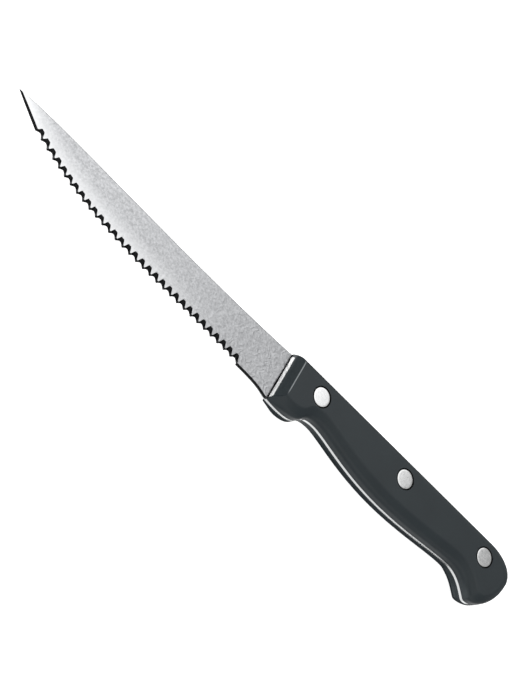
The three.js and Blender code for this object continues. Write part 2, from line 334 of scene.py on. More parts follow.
# %% [markdown]
# ## Grinding the teeth
# A shaped wheel held at an angle to the near face grinds one scallop after another. Each scallop is deep
# in its middle and runs out to a point at both ends, so the points between them become the teeth. The
# grinding breaks out further in on the near face than on the far face, which is the bevel that cuts, and
# where the teeth end at the far face a last pass over a soft wheel has rounded them. Near the tip each
# scallop starts more steeply and its bevel is narrower: over the teeth of wheel_change, counted from the tip,
# each pair of values below goes from its first number to its second.

# %% The scallops
tooth_pitch = 2.85
tooth_depth = 1.0
point_bevel = 0.52
point_rounding = 1.5
wheel_change = (9, 18)
climb_share = (0.2, 0.38)
fall_share = (0.45, 0.35)
gullet_bevel = (0.92, 1.32)
first_stretch = 0.65
stretched_teeth = 3
steps_per_tooth = 20
tooth_count = round(tooth_run[-1] / tooth_pitch)


def inward(points):
    """Unit direction into the blade at each point: the line's direction turned a quarter to the left."""
    along = np.gradient(points, axis=0)
    along /= np.linalg.norm(along, axis=1, keepdims=True)
    return np.stack([-along[:, 1], along[:, 0]], axis=1)


def toothed_edge():
    """Places along the tooth line with the cut's depth at the far face and the near face.
    At the far face the depth across a tooth follows (1 - a^2)^p, with a running from -1 to 1 between two
    points and p rounding the points. At the near face it climbs in one soft step and falls in another, and
    both of them and the bevel in the gullets change along the edge. The first teeth stand wider apart."""
    tooth = np.arange(tooth_count * steps_per_tooth + 1) / steps_per_tooth
    run = tooth / tooth_count * (tooth_run[-1] - first_stretch)
    run += first_stretch * smoothstep(tooth, 0, stretched_teeth)
    place = trace([tooth_line()], [np.interp(run, tooth_run, dense)])
    growth = smoothstep(tooth, *wheel_change)
    changing = (climb_share, fall_share, gullet_bevel)
    climb, fall, bevel = (first + growth * (last - first) for first, last in changing)
    across = tooth % 1
    scallop = smoothstep(across, 0, climb) * smoothstep(1 - across, 0, fall)
    near = point_bevel + scallop * (tooth_depth + bevel - point_bevel)
    far = tooth_depth * (1 - (2 * across - 1) ** 2) ** point_rounding
    return place, inward(place), far, near


print(tooth_count, "teeth")

# %% [markdown]
# The plain edge at the tip has a bevel that runs out at the point, the heel has one all along, and the tang
# has none. The stations crowd together at the point, and the step behind the last tooth leans by a hair, so
# that its two stations don't meet in one place on the spine.

# %% Stations along the whole edge
tip_bevel = 0.5
bevel_growth = 0.55
heel_bevel = 0.6
tip_steps = 40
tip_crowding = 1.5
heel_steps = 48
step_lean = (0.03, 0)


def plain_edge(place, bevel):
    """Places along an edge with no teeth: nothing cut at the far face, one bevel at the near face."""
    return place, inward(place), np.zeros(len(place)), bevel + np.zeros(len(place))


tip_shares = np.linspace(0, 1, tip_steps, endpoint=False)[:, None] ** tip_crowding
tip_places = tip + tip_shares * (tooth_line()[0] - tip)
from_point = np.linalg.norm(tip_places - tip, axis=1)
heel_places = trace([heel_curve], [np.linspace(0, 1, heel_steps, endpoint=False)]) + step_lean
stretches = [
    plain_edge(tip_places, np.minimum(tip_bevel, bevel_growth * from_point)),
    toothed_edge(),
    plain_edge(heel_places, heel_bevel),
    plain_edge(belly_line, 0.0),
]
edge_place, edge_inward, far_cut, near_cut = (np.concatenate(parts) for parts in zip(*stretches))
blade_stations = len(edge_place) - len(belly_line)
ground_stations = blade_stations - len(heel_places)
print(len(edge_place), "stations along the steel")

# %% [markdown]
# ## The steel
# Blade and tang are one sheet. Its section is a ring carried from the tip to the butt: up the ground edge,
# across the near face, over the spine and back along the far face. The faces thin towards the edge in a
# faint curve and towards the point, and the spine's corners are eased so they don't cut the hand. That
# easing is a quarter of a flat ellipse.

# %% The section of the steel
edge_half = 0.35
grind_start = 1.5
grind_runout = 12.0
buffed_roll_and_highlight_width = 7.0
buffed_drop = 0.07
buffed_ends = (15.0, 45.0)
point_run = 9.0
point_half = 0.12
spine_round = 0.6
spine_drop = 0.16
ease_ends = (0.2, 1.0)
ease_width = 3.0
face_rows = 18
round_rows = 6
tiny = 1e-9


def face_height(x, depth, from_edge):
    """Half the steel's thickness: the sheet's half, less a wedge below the grind line that fades out ahead
    of the handle, less a buffed roll-off that grows with the square of the way from its start and fades out
    ahead of the heel. Near the point it eases down to a small thickness."""
    wedge = np.clip(depth - grind_start, 0, None) / (-heel_start[1] - grind_start)
    thinning = (steel_half - edge_half) * wedge * smoothstep(-x, 0, grind_runout)
    roll = np.clip(1 - from_edge / buffed_roll_and_highlight_width, 0, 1) ** 2 * smoothstep(-x, *buffed_ends)
    half = steel_half - thinning - buffed_drop * roll
    blunt = np.clip(1 - (x - tip[0]) / point_run, 0, 1) ** 2
    return half + (point_half - half) * blunt


def half_section(cut):
    """One face's half of every section ring, from its cut edge across the face and over the spine, and each
    point's way from the line of the tooth tips. Both are arrays of stations by rows."""
    ahead = edge_place[:blade_stations, 0]
    back = np.concatenate([np.stack([ahead, spine_y(ahead)], axis=1), back_line])
    low = edge_place + cut[:, None] * edge_inward
    width = np.linalg.norm(back - low, axis=1, keepdims=True)
    ease = smoothstep(-edge_place[:, :1], *ease_ends) * smoothstep(width, 0, ease_width)
    turn = np.linspace(0, np.pi / 2, round_rows + 1)[1:]
    reach = np.linspace(0, 1, face_rows) * (width - spine_round * ease)
    from_edge = np.hstack([reach, width - spine_round * ease * (1 - np.sin(turn))])
    plan = low[:, None] + (from_edge / np.maximum(width, tiny))[..., None] * (back - low)[:, None]
    from_tips = from_edge + cut[:, None]
    height = face_height(plan[..., 0], -plan[..., 1], from_tips)
    height[:, face_rows:] -= spine_drop * ease * (1 - np.cos(turn))
    return np.concatenate([plan, height[..., None]], axis=2), from_tips


near_half, near_way = half_section(near_cut)
far_half, far_way = half_section(far_cut)
far_half[..., 2] *= -1
print("rows across one face:", near_half.shape[1])

# %% [markdown]
# The heel isn't ground to an edge: it keeps an upright wall with its near corner broken. One more row of
# points holds that corner, and on the ground edge the same row simply lies on the bevel. The finishes are
# numbered by row and station here, where it is still known what each face is: 0 for the satin faces, 1 for
# ground bevels and 2 for the plain rim of the sheet.

# %% The steel's corner row and finishes
heel_range = slice(ground_stations, blade_stations)
knee = (near_half[:, 0] + far_half[:, 0]) / 2
knee[heel_range, :2] = far_half[heel_range, 0, :2]
knee[heel_range, 2] = near_half[heel_range, 0, 2] - heel_bevel
steel_rings = np.concatenate([knee[:, None], near_half, far_half[:, ::-1]], axis=1)
from_edge = np.concatenate([near_cut[:, None], near_way, far_way[:, ::-1]], axis=1)
stations, rows = steel_rings.shape[:2]
steel_finish = np.zeros((stations - 1, rows), int)
steel_finish[:, [0, -1]] = 2
steel_finish[:, face_rows + round_rows] = 2
steel_finish[:blade_stations, 0] = 1
steel_finish[:ground_stations, -1] = 1
print(rows, "rows round the steel")

# %% The steel as a piece
steel_faces = grid_faces(stations, rows)
steel = make_piece("blade_and_tang", steel_rings, steel_faces, steel_finish, from_edge=from_edge)

# %% [markdown]
# ## A handle scale
# A scale is moulded: an upright wall at the tang, a rounding, a slope up to the ridge and a flat on top.
# At the guard the wall is low, so the slope there is a wide chamfer. The front end leans back and has a
# broad bevel above it. Taking the lower of two surfaces, with a soft corner, cuts that front.

# %% Front end and wall of a scale
front_foot = 0.81
front_face_height = 2.07
front_face_lean = 0.9
front_bevel_run = 3.3
front_corner = 0.2
belly_wall = 3.1
spine_wall = 4.0
guard_wall = {"near": 0.4, "far": 1.2}
guard_wall_run = 7.0
belly_turn = (-0.2, 0.7)


def front_height(x):
    """Height of the scale's front end: a leaning face above a short foot, then the bevel up to the flat."""
    lean = front_foot + (x - front_start) * (front_face_height - front_foot) / (front_face_lean - front_start)
    rate = (scale_height - front_face_height) / (front_bevel_run - front_face_lean)
    return soft_min(lean, front_face_height + rate * (x - front_face_lean), front_corner)


def wall_height(line, outward_y, guard):
    """Height of the upright wall: low at the guard, middling on the belly and high on the spine. Belly and
    spine are told apart by how far the outline looks down."""
    under = guard + (belly_wall - guard) * smoothstep(line[:, 0], 0, guard_wall_run)
    return spine_wall + (under - spine_wall) * smoothstep(-outward_y, *belly_turn)


print(f"front end {front_height(front_start):.2f} mm high at its foot")

# %% [markdown]
# From the outline to the ridge, a side of the scale is a few short curves in a row. The points lie close
# together where the surface bends and far apart where it is straight.

# %% One side of a scale
edge_rounding = 1.5
foot_rounding = 0.2
rounding_share = 0.7
foot_share = 0.8
ridge_reach = 0.55
foot_rows = 5
wall_rows = 3
rounding_rows = 11
slope_rows = 6
ridge_rows = 13


def side_rows(line, ridge, wall, draft):
    """Rows from the foot to just past the ridge, as a way in from the outline and a height.
    Foot: a quarter circle. Wall: straight up. Rounding: a quadratic curve from the wall to the slope.
    Slope: straight to the ridge, where it and the flat share a soft corner. All of it leans in with the
    wall's height, as a moulding has to so that it leaves its mould, but not at the ridge."""
    inset = np.linalg.norm(ridge - line, axis=1)
    rounding = np.minimum(edge_rounding, rounding_share * wall)
    foot = np.minimum(foot_rounding, foot_share * (wall - rounding))
    rate = (scale_height - wall) / inset
    turn = np.linspace(0, np.pi / 2, foot_rows)[:, None]
    climb = np.linspace(0, 1, wall_rows + 2)[1:-1, None]
    bend = np.linspace(0, 1, rounding_rows)[:, None]
    run = rounding / np.hypot(1, rate)
    slope = np.linspace(0, 1, slope_rows + 2)[1:-1, None]
    ridge_in = inset + ridge_reach * np.linspace(-1, 1, ridge_rows)[:, None]
    slope_in = run + slope * (ridge_in[0] - run)
    way_in = np.concatenate([
        foot * (1 - np.sin(turn)),
        np.zeros_like(climb * foot),
        bend ** 2 * run,
        slope_in,
        ridge_in,
    ])
    height = np.concatenate([
        foot * (1 - np.cos(turn)),
        foot + climb * (wall - rounding - foot),
        (wall - rounding) + 2 * bend * rounding + bend ** 2 * (run * rate - rounding),
        wall + rate * slope_in,
        soft_min(wall + rate * ridge_in, np.full_like(ridge_in, scale_height), rate * ridge_reach),
    ])
    way_in += draft * np.minimum(height, wall - rounding) * np.clip(1 - way_in / inset, 0, 1)
    plan = line + (way_in / inset)[..., None] * (ridge - line)
    return plan, height


# %% [markdown]
# Both sides and the flat between them close into a ring, and the rings are carried from the front to the
# butt. The far scale differs from the near one in two places: its wall at the guard is higher, and its hook
# is flush with the tang but swells forward below it.

# %% Section rings of a scale
belly_ridge_inset = 3.3
spine_ridge_inset = 2.0
ridge_shift = 1.2
belly_draft = 0.05
back_draft = 0.01
flat_rows = 7
hook_swell = {"near": 0.0, "far": 1.1}
hook_swell_height = 1.6
hook_swell_run = 5.0


def scale_rings(side):
    """Section rings of a scale: belly side, flat, back side, all held under the front end's height. At the
    hook the belly side moves forward by a soft step up and down along the handle times one in height."""
    lines = handle_rails(0, 0, 0)
    ridges = handle_rails(belly_ridge_inset, spine_ridge_inset, ridge_shift)
    sides = []
    for line, ridge, sign, draft in zip(lines, ridges, (1, -1), (belly_draft, back_draft)):
        outward_y = -sign * np.gradient(line[:, 0]) / np.linalg.norm(np.gradient(line, axis=0), axis=1)
        sides.append(side_rows(line, ridge, wall_height(line, outward_y, guard_wall[side]), draft))
    (belly_plan, belly_z), (back_plan, back_z) = sides
    swell = smoothstep(belly_plan[0, :, 0], waist_position, waist_position + hook_swell_run)
    swell *= smoothstep(belly_plan[0, :, 0], hook_position + hook_swell_run, hook_position)
    belly_plan[..., 0] -= hook_swell[side] * swell * smoothstep(belly_z, 0, hook_swell_height)
    share = np.linspace(0, 1, flat_rows + 2)[1:-1, None, None]
    flat_plan = belly_plan[-1] + share * (back_plan[-1] - belly_plan[-1])
    plan = np.concatenate([belly_plan, flat_plan, back_plan[::-1]])
    height = np.concatenate([belly_z, np.full(flat_plan.shape[:2], scale_height), back_z[::-1]])
    height = np.clip(soft_min(height, front_height(plan[..., 0]), front_corner), 0, None)
    rings = np.concatenate([plan, steel_half + height[..., None]], axis=2)
    return rings.transpose(1, 0, 2)


print("rows round a scale:", scale_rings("near").shape[1])

# %% [markdown]
# ## Seats for the rivets
# Each rivet head sits in a round seat, bored into the scale and lightly countersunk at its mouth, and the
# sleeve passes through a smaller hole in the scale and the tang. All of these are round, so a profile turned
# about an upright axis makes them, as on a lathe.

# %% Lathed shapes
turn_steps = 96
rivet_boxes = {place: node_box(f"{place}_rivet_sleeve") for place in ("front", "middle", "rear")}
rivet_centres = {place: (sum(box) / 2 - plan_origin)[:2] for place, box in rivet_boxes.items()}
head_radius = float(np.ptp([corner[0] for corner in rivet_boxes["front"]])) / 2


def lathe(profile, centre, sign):
    """Points of a profile of radius and height turned about an upright axis: r cos a, r sin a, height."""
    angle = np.linspace(0, 2 * np.pi, turn_steps, endpoint=False)[:, None]
    radius, height = np.array(profile, float).T
    x = centre[0] + radius * np.cos(angle)
    y = centre[1] + radius * np.sin(angle)
    return np.stack([x, y, sign * height + 0 * angle], axis=2)


def lathe_faces(rows):
    """Quads round a lathed profile that starts and ends on its axis."""
    faces = np.array(grid_faces(turn_steps + 1, rows)).reshape(turn_steps, rows, 4)[:, :-1]
    return (faces % (turn_steps * rows)).reshape(-1, 4).tolist()


print(f"rivet heads {2 * head_radius:.2f} mm wide")

# %% [markdown]
# The boring tool is such a turned shape at each rivet. A Boolean modifier cuts with it and is then applied.

# %% The boring tool
head_recess = 0.05
head_thickness = 1.2
sleeve_radius = 1.7
hole_gap = 0.1
tang_hole_gap = 0.3
seat_gap = 0.36
seat_flare = 0.06
overrun = 1.0


def seat_profile():
    """A hole for the sleeve, the head's seat above it and the countersink at the seat's mouth."""
    flat = steel_half + scale_height
    floor = flat - head_recess - head_thickness
    hole = sleeve_radius + hole_gap
    seat = head_radius + seat_gap
    mouth = [(seat, flat - seat_flare), (seat + 2 * seat_flare, flat + seat_flare), (0, flat + seat_flare)]
    return [(0, 0), (hole, 0), (hole, floor), (seat, floor)] + mouth


def tang_hole_profile():
    """A plain hole through the tang, a little wider than the sleeve."""
    hole = sleeve_radius + tang_hole_gap
    return [(0, -overrun), (hole, -overrun), (hole, overrun), (0, overrun)]


def boring_tool(profile, sign):
    """A profile turned at all three rivets, as one object to be cut out of a piece."""
    points = [lathe(profile, centre, sign) for centre in rivet_centres.values()]
    count = turn_steps * len(profile)
    faces = [np.array(lathe_faces(len(profile))) + index * count for index in range(len(points))]
    return make_piece("boring_tool", np.concatenate(points), np.concatenate(faces).tolist())


def bore(piece, tool):
    """Cuts the tool out of the piece, keeps the result as its mesh and throws the tool away."""
    cut = piece.modifiers.new("bored", "BOOLEAN")
    cut.object = tool
    cut.operation = "DIFFERENCE"
    cut.solver = "EXACT"
    graph = bpy.context.evaluated_depsgraph_get()
    mesh = bpy.data.meshes.new_from_object(piece.evaluated_get(graph))
    piece.modifiers.clear()
    piece.data = mesh
    finish_mesh(mesh)
    bpy.data.objects.remove(tool)


print(f"seats {2 * (head_radius + seat_gap):.2f} mm wide")

# %% [markdown]
# The far scale is the same moulding seen in a mirror, so one function makes both.

# %% Both scales
def make_scale(side, sign):
    """A scale from its section rings, closed at the front by a flat foot, with its seats bored."""
    rings = scale_rings(side) * (1, 1, sign)
    faces = grid_faces(*rings.shape[:2]) + [list(range(rings.shape[1]))]
    piece = make_piece(f"{side}_handle_scale", rings, faces)
    bore(piece, boring_tool(seat_profile(), sign))
    return piece


scales = {side: make_scale(side, sign) for side, sign in (("near", 1), ("far", -1))}
bore(steel, boring_tool(tang_hole_profile(), 1))

# %% [markdown]
# ## Cutlers' rivets
# A cutlers' rivet comes in two halves: a sleeve with one head and a pin with the other, pressed together
# through the handle and then ground flush. Both are turned parts, so both are lathed here, with the
# rounded rim that grinding and buffing leave on the heads.

# %% Rivets
bore_radius = 1.1
pin_radius = 1.0
rim_round = 0.14
rim_steps = 7
head_crown = 0.02
sleeve_end_gap = 0.5
pin_end_gap = 0.8
head_top = steel_half + scale_height - head_recess
head_under = head_top - head_thickness


def head_profile():
    """The head from its underside's rim to the middle of its face: wall, rounded rim, faint crown."""
    turn = np.linspace(0, np.pi / 2, rim_steps)
    rim_radius = head_radius - rim_round * (1 - np.cos(turn))
    rim_height = head_top - head_crown - rim_round * (1 - np.sin(turn))
    face = np.linspace(1, 0, rim_steps)[1:]
    crown_radius = face * rim_radius[-1]
    crown_height = head_top - head_crown * face ** 2
    return list(zip(rim_radius, rim_height)) + list(zip(crown_radius, crown_height))


def sleeve_profile():
    """The hollow half: bore, open end, shank, then the head."""
    end = sleeve_end_gap - head_under
    shank = [(0, head_under), (bore_radius, head_under), (bore_radius, end), (sleeve_radius, end)]
    return shank + [(sleeve_radius, head_under), (head_radius, head_under)] + head_profile()


def pin_profile():
    """The solid half, drawn head up: the pin's end, its shank, then the head."""
    end = pin_end_gap - head_under
    return [(0, end), (pin_radius, end), (pin_radius, head_under), (head_radius, head_under)] + head_profile()


rivets = {}
for place, centre in rivet_centres.items():
    for half, profile, sign in (("sleeve", sleeve_profile(), 1), ("pin", pin_profile(), -1)):
        points = lathe(profile, centre, sign)
        rivets[place, half] = make_piece(f"{place}_{half}", points, lathe_faces(len(profile)))

# %% [markdown]
# ## Building materials
# A material here starts from what the thing is made of and how its surface was worked. Small helpers do
# the plumbing: one turns a hex colour to linear light, one fills a node's inputs and one adds a node.

# %% Material helpers
def linear(code):
    """An sRGB hex colour as linear RGBA: c / 12.92 for dark channels, else ((c + 0.055) / 1.055)^2.4."""
    channels = np.array([int(code[start:start + 2], 16) for start in (1, 3, 5)]) / 255
    light = np.where(channels <= 0.04045, channels / 12.92, ((channels + 0.055) / 1.055) ** 2.4)
    return (*light.tolist(), 1.0)


def fill(tree, node, inputs):
    """Links each input that is given a socket, and sets each input that is given a value."""
    for name, value in inputs.items():
        if isinstance(value, bpy.types.NodeSocket):
            tree.links.new(value, node.inputs[name])
        else:
            node.inputs[name].default_value = value


def add(tree, kind, inputs=None, **settings):
    """A new node of a kind, with its settings, its values and its links."""
    made = tree.nodes.new(kind)
    for name, value in settings.items():
        setattr(made, name, value)
    fill(tree, made, inputs or {})
    return made


def per_mm(size):
    """The texture scale that gives features of about this size in millimetres."""
    return 1 / (size * MM)


def new_material(name):
    """A new material, its node tree and its shader, which the caller fills."""
    made = bpy.data.materials.new(name)
    made.use_nodes = True
    print("material", name)
    return made, made.node_tree, made.node_tree.nodes["Principled BSDF"]


print("mid grey in linear light:", linear("#808080")[0])

# %% [markdown]
# ## Satin stainless steel
# The blade is rolled stainless sheet, tumbled to a satin: no mirror, but a clear gradient under a soft
# light. Tumbling stones leave a fine speckle and soft clouds everywhere and small wavy marks near the handle,
# where the buffing wheel doesn't reach. The colour is darker near the handle and lighter along the edge:
# painted shade and a painted highlight.

# %% Blade faces
marks_start = -60 * MM
edge_highlight_end = -11 * MM


def satin_stainless():
    """Metal with a broad soft highlight, speckled in colour and dented near the handle. Painted shade makes
    it a little darker near the handle and a painted highlight lighter along the edge. The speckle is about
    three times as coarse as real tumbling marks, so that it can be seen."""
    material, tree, shader = new_material("satin_tumbled_stainless")
    where = add(tree, "ShaderNodeTexCoord").outputs["Object"]
    along = add(tree, "ShaderNodeSeparateXYZ", {"Vector": where}).outputs["X"]
    speckle = add(tree, "ShaderNodeTexNoise", {
        "Vector": where, "Scale": per_mm(0.75), "Detail": 3.0, "Roughness": 0.85,
    }).outputs["Fac"]
    marks = add(tree, "ShaderNodeTexNoise", {
        "Vector": where, "Scale": per_mm(3.2), "Detail": 1.0, "Distortion": 1.2, "Offset": 1.0,
    }, noise_type="RIDGED_MULTIFRACTAL").outputs["Fac"]
    near_handle = add(tree, "ShaderNodeMapRange", {
        "Value": along, "From Min": marks_start, "From Max": 0.0, "To Min": 0.1, "To Max": 1.0,
    }, interpolation_type="SMOOTHSTEP").outputs["Result"]
    # Painted shade: the colour darkens towards the handle.
    handle_shade = add(tree, "ShaderNodeMapRange", {
        "Value": along, "From Min": marks_start, "From Max": 0.0, "To Min": 1.0, "To Max": 0.7,
    }, interpolation_type="SMOOTHSTEP").outputs["Result"]
    tone = add(tree, "ShaderNodeMapRange", {
        "Value": speckle, "From Min": 0.3, "From Max": 0.7, "To Max": handle_shade,
    }).outputs["Result"]
    sheet = add(tree, "ShaderNodeMix", {
        0: tone, 6: linear("#999a9c"), 7: linear("#c8c9cb"),
    }, data_type="RGBA").outputs[2]
    edge = add(tree, "ShaderNodeAttribute", attribute_name="from_edge").outputs["Fac"]
    ahead = add(tree, "ShaderNodeMapRange", {
        "Value": along, "From Min": edge_highlight_end, "From Max": marks_start,
    }, interpolation_type="SMOOTHSTEP").outputs["Result"]
    # Painted highlight: the colour lightens along the edge, ahead of the handle.
    edge_highlight = add(tree, "ShaderNodeMapRange", {
        "Value": edge, "From Min": buffed_roll_and_highlight_width, "From Max": 0.3, "To Max": ahead,
    }).outputs["Result"]
    colour = add(tree, "ShaderNodeMix", {
        0: edge_highlight, 6: sheet, 7: linear("#dcddde"),
    }, data_type="RGBA").outputs[2]
    rough = add(tree, "ShaderNodeMapRange", {
        "Value": speckle, "From Min": 0.3, "From Max": 0.7, "To Min": 0.34, "To Max": 0.27,
    }).outputs["Result"]
    dents = add(tree, "ShaderNodeMix", {0: near_handle, 2: speckle, 3: marks}).outputs[0]
    bump = add(tree, "ShaderNodeBump", {
        "Height": dents, "Strength": 0.8, "Distance": 0.042 * MM,
    }).outputs["Normal"]
    fill(tree, shader, {"Metallic": 1.0, "Base Color": colour, "Roughness": rough, "Normal": bump})
    return material


satin_steel = satin_stainless()

# %% [markdown]
# ## Ground steel
# The scallops, the plain edge at the tip and the heel's broken corner are ground after the sheet is finished.
# A coarse wheel leaves grooves too fine to see, which run across the edge and are drawn coarser here than
# they are. These facets are painted nearly black next to the satin faces: painted shade for the dark
# surroundings they reflect.

# %% Ground bevels
def ground_steel_painted_dark():
    """Metal painted dark, a painted shade, with fine lines along the thickness of the sheet."""
    material, tree, shader = new_material("ground_stainless_painted_dark")
    where = add(tree, "ShaderNodeTexCoord").outputs["Object"]
    stretched = add(tree, "ShaderNodeMapping", {"Vector": where, "Scale": (1.0, 0.2, 0.08)}).outputs["Vector"]
    lines = add(tree, "ShaderNodeTexNoise", {
        "Vector": stretched, "Scale": per_mm(0.12), "Detail": 2.0,
    }).outputs["Fac"]
    # Painted shade: the facets are coloured nearly black for the dark surroundings they reflect.
    colour = add(tree, "ShaderNodeMix", {
        0: lines, 6: linear("#18191a"), 7: linear("#2e2f30"),
    }, data_type="RGBA").outputs[2]
    bump = add(tree, "ShaderNodeBump", {
        "Height": lines, "Strength": 0.15, "Distance": 0.01 * MM,
    }).outputs["Normal"]
    fill(tree, shader, {"Metallic": 1.0, "Base Color": colour, "Roughness": 0.4, "Normal": bump})
    return material


dark_reflection_steel = ground_steel_painted_dark()

# %% [markdown]
# ## The sheet's rim
# Round the handle, along the spine and at the heel the rim of the sheet shows as it left the blanking press
# and the polishing belt: a bright, fairly smooth band with lines that run along it.

# %% Rim of the sheet
def polished_rim():
    """Bright metal with faint long lines."""
    material, tree, shader = new_material("belt_polished_stainless_rim")
    where = add(tree, "ShaderNodeTexCoord").outputs["Object"]
    stretched = add(tree, "ShaderNodeMapping", {"Vector": where, "Scale": (0.1, 0.1, 1.0)}).outputs["Vector"]
    lines = add(tree, "ShaderNodeTexNoise", {
        "Vector": stretched, "Scale": per_mm(0.15), "Detail": 2.0,
    }).outputs["Fac"]
    colour = add(tree, "ShaderNodeMix", {
        0: lines, 6: linear("#d6d8d9"), 7: linear("#eceeee"),
    }, data_type="RGBA").outputs[2]
    rough = add(tree, "ShaderNodeMapRange", {
        "Value": lines, "To Min": 0.12, "To Max": 0.2,
    }).outputs["Result"]
    fill(tree, shader, {"Metallic": 1.0, "Base Color": colour, "Roughness": rough})
    return material


bright_rim = polished_rim()

# %% [markdown]
# ## Black acetal
# The scales are moulded acetal, a hard, slightly waxy plastic. It is nearly black, so most of what the eye
# sees is the soft reflection on top, broken by a very fine moulded grain and faint flow marks. A pale line
# along the ridge at the front is a painted highlight.

# %% Handle plastic
def moulded_acetal():
    """A dielectric with a dark body, a soft even sheen, a fine grain and a pale painted highlight along a
    line.
    """
    material, tree, shader = new_material("moulded_black_acetal")
    where = add(tree, "ShaderNodeTexCoord").outputs["Object"]
    flow = add(tree, "ShaderNodeTexNoise", {
        "Vector": where, "Scale": per_mm(9.0), "Detail": 2.0,
    }).outputs["Fac"]
    grain = add(tree, "ShaderNodeTexNoise", {
        "Vector": where, "Scale": per_mm(0.3), "Detail": 2.0,
    }).outputs["Fac"]
    body = add(tree, "ShaderNodeMix", {
        0: flow, 6: linear("#283034"), 7: linear("#2f383c"),
    }, data_type="RGBA").outputs[2]
    # Painted highlight: a pale line along the front ridge of the scale.
    ridge_highlight = add(tree, "ShaderNodeAttribute", attribute_name="ridge_highlight").outputs["Fac"]
    colour = add(tree, "ShaderNodeMix", {
        0: ridge_highlight, 6: body, 7: linear("#adb3b5"),
    }, data_type="RGBA").outputs[2]
    rough = add(tree, "ShaderNodeMapRange", {
        "Value": grain, "From Min": 0.3, "From Max": 0.7, "To Min": 0.36, "To Max": 0.44,
    }).outputs["Result"]
    bump = add(tree, "ShaderNodeBump", {
        "Height": grain, "Strength": 0.1, "Distance": 0.02 * MM,
    }).outputs["Normal"]
    fill(tree, shader, {
        "IOR": 1.48, "Specular IOR Level": 0.4, "Base Color": colour, "Roughness": rough, "Normal": bump,
    })
    return material


black_acetal = moulded_acetal()

# %% [markdown]
# ## The front end's painted highlight
# The leaning front face of each scale is painted white where the moulding around it is black: a painted
# highlight for the light that face catches. It is a colour on the scale, not a piece of its own. The short
# foot below it gets a darker matt colour, painted shade that draws the dark line along the blade.

# %% Painted highlight on the front face
def white_front_highlight():
    """A white dielectric, a painted highlight, with a slightly uneven polish."""
    material, tree, shader = new_material("white_end_face_painted_highlight")
    where = add(tree, "ShaderNodeTexCoord").outputs["Object"]
    patches = add(tree, "ShaderNodeTexNoise", {
        "Vector": where, "Scale": per_mm(1.2), "Detail": 2.0,
    }).outputs["Fac"]
    colour = add(tree, "ShaderNodeMix", {
        0: patches, 6: linear("#f2f3f3"), 7: linear("#fbfbfb"),
    }, data_type="RGBA").outputs[2]
    rough = add(tree, "ShaderNodeMapRange", {
        "Value": patches, "To Min": 0.2, "To Max": 0.3,
    }).outputs["Result"]
    fill(tree, shader, {"Specular IOR Level": 0.9, "Base Color": colour, "Roughness": rough})
    return material


front_face_highlight = white_front_highlight()

# %% Matt foot and seats, painted shade
def painted_shade_acetal():
    """The same dielectric without its sheen, faintly uneven, in a darker colour that is painted shade."""
    material, tree, shader = new_material("dark_acetal_painted_shade")
    where = add(tree, "ShaderNodeTexCoord").outputs["Object"]
    patches = add(tree, "ShaderNodeTexNoise", {
        "Vector": where, "Scale": per_mm(0.8), "Detail": 2.0,
    }).outputs["Fac"]
    colour = add(tree, "ShaderNodeMix", {
        0: patches, 6: linear("#0e1011"), 7: linear("#1a1c1d"),
    }, data_type="RGBA").outputs[2]
    fill(tree, shader, {"Specular IOR Level": 0.1, "Base Color": colour, "Roughness": 0.85})
    return material


painted_shade_finish = painted_shade_acetal()

# %% [markdown]
# ## Rivet metal
# The heads are ground flush with the scale and buffed. They are brighter than the blade, with the small
# random scratches of a buffing wheel.

# %% Rivet heads
def buffed_rivet_metal():
    """Bright metal with a fairly tight highlight and fine random mottling."""
    material, tree, shader = new_material("buffed_rivet_metal")
    where = add(tree, "ShaderNodeTexCoord").outputs["Object"]
    mottle = add(tree, "ShaderNodeTexNoise", {
        "Vector": where, "Scale": per_mm(0.7), "Detail": 3.0, "Distortion": 0.8,
    }).outputs["Fac"]
    colour = add(tree, "ShaderNodeMix", {
        0: mottle, 6: linear("#d9dbdb"), 7: linear("#ffffff"),
    }, data_type="RGBA").outputs[2]
    rough = add(tree, "ShaderNodeMapRange", {
        "Value": mottle, "From Min": 0.3, "From Max": 0.7, "To Min": 0.16, "To Max": 0.24,
    }).outputs["Result"]
    bump = add(tree, "ShaderNodeBump", {
        "Height": mottle, "Strength": 0.06, "Distance": 0.02 * MM,
    }).outputs["Normal"]
    fill(tree, shader, {"Metallic": 1.0, "Base Color": colour, "Roughness": rough, "Normal": bump})
    return material


rivet_metal = buffed_rivet_metal()

# %% [markdown]
# ## Giving each face its finish
# The steel's faces were numbered when they were made, so its materials only have to be added in that order.

# %% Finishes on the steel
def read_rows(items, label, width=3):
    """One property of all points or faces of a mesh as an array, one row each."""
    flat = np.empty(len(items) * width, np.float32)
    items.foreach_get(label, flat)
    return flat.reshape(-1, width)


for material in (satin_steel, dark_reflection_steel, bright_rim):
    steel.data.materials.append(material)
finish_count = np.bincount(read_rows(steel.data.polygons, "material_index", 1).astype(int).ravel())
print("satin, ground and rim faces:", finish_count)

# %% [markdown]
# On a scale the front end is found by where its faces look, and the painted highlight on the ridge by how
# near each point is to the line where the front bevel meets the flat. The seats get the same darker matt
# colour as the foot, painted shade.

# %% Finishes on the scales
front_highlight_start = 1.2
front_facing = -0.86
ridge_highlight_width = 0.22
ridge_highlight_ends = (11.8, 14.0)
ridge_highlight_depths = (0.4, 0.1)


def in_seat(centres):
    """Whether each place lies in a rivet's seat: nearer to its middle than the seat's mouth."""
    middles = np.array(list(rivet_centres.values()))
    nearest = np.linalg.norm(centres[:, None, :2] - middles, axis=2).min(axis=1)
    return nearest < head_radius + seat_gap + seat_flare


